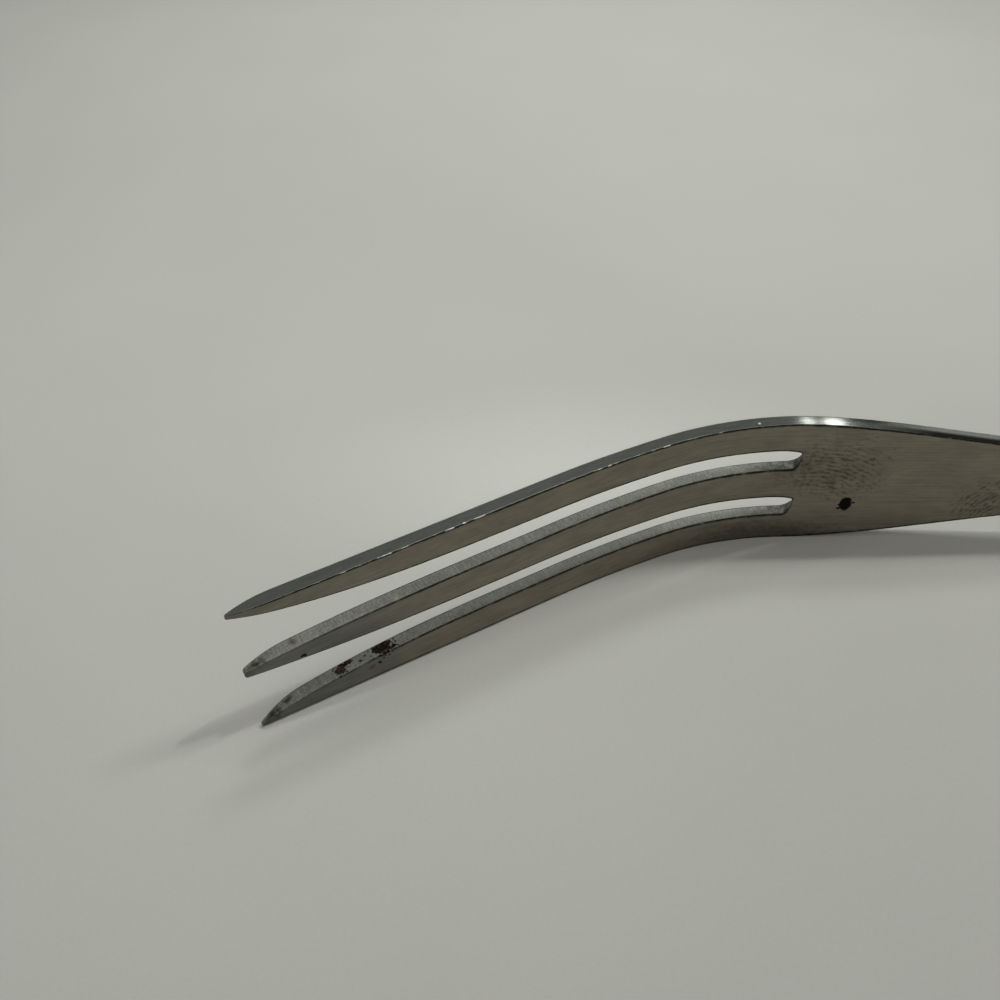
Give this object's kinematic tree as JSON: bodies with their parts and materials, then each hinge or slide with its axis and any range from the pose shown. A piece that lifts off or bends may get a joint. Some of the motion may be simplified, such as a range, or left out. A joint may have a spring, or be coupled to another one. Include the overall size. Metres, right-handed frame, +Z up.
{
  "type": "serving fork",
  "caption": "Flat stamped steel serving fork with long bent tines, a waisted neck and riveted wooden handle scales, for lifting and serving food.",
  "frame": {"origin": "on the surface that the fork lies on, below the middle of its bounding box", "axes": "+X along the handle from the tines to the butt, +Y to the back of the fork, away from the side that the tines bend to, +Z up across the fork's width, as it lies on its long edge"},
  "size_m": [0.2001, 0.0357, 0.018],
  "materials": {
    "steel": "fine lengthwise brushing on the faces, polished outer edge, dull sheared slot edges",
    "wood": "oiled dark wood, satin",
    "rivet": "ground flush and polished"
  },
  "bodies": {
    "root": {"fork_blank": "steel", "handle_scale_front": "wood", "handle_scale_back": "wood", "rivet_pin_1": "rivet", "rivet_pin_2": "rivet", "rivet_pin_3": "rivet", "rivet_socket_1": "rivet", "rivet_socket_2": "rivet", "rivet_socket_3": "rivet"}
  },
  "joints": []
}
